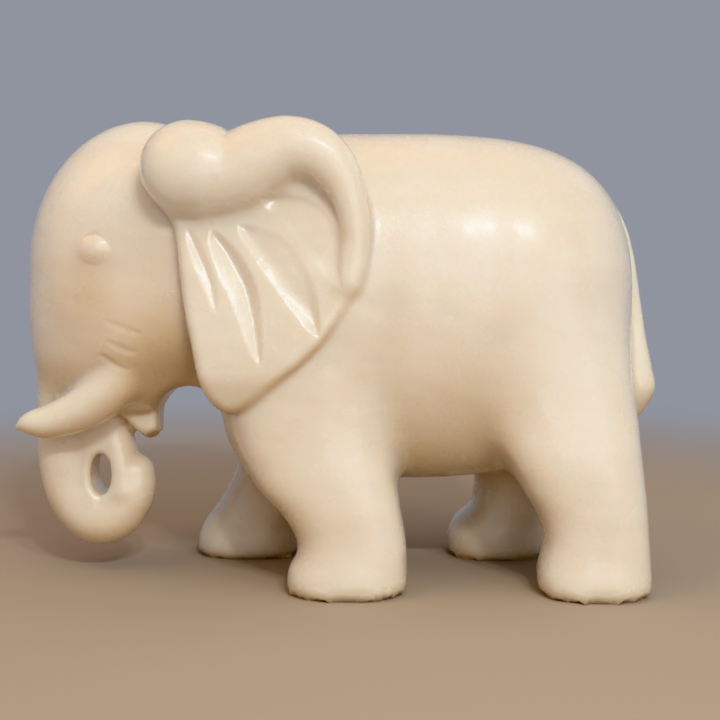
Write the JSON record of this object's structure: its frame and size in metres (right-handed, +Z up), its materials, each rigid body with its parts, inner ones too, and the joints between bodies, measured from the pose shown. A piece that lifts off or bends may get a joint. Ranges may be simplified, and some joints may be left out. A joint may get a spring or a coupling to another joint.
{
  "type": "carved elephant sculpture",
  "caption": "Walking elephant carved in the round from one block of pale polished stone, standing on its own feet, trunk curled under, tusks forward, furrowed ears",
  "frame": {"origin": "middle of the figure's length and width, in the plane of its soles", "axes": "+X from the head to the tail, so the elephant faces -X; +Y toward its right side; +Z up"},
  "size_m": [0.2194, 0.0948, 0.1594],
  "materials": {
    "pale_jade": "polished cream-white jade with a waxy gloss, a little light showing through thin parts"
  },
  "bodies": {
    "root": {"elephant": "pale_jade"}
  },
  "joints": []
}
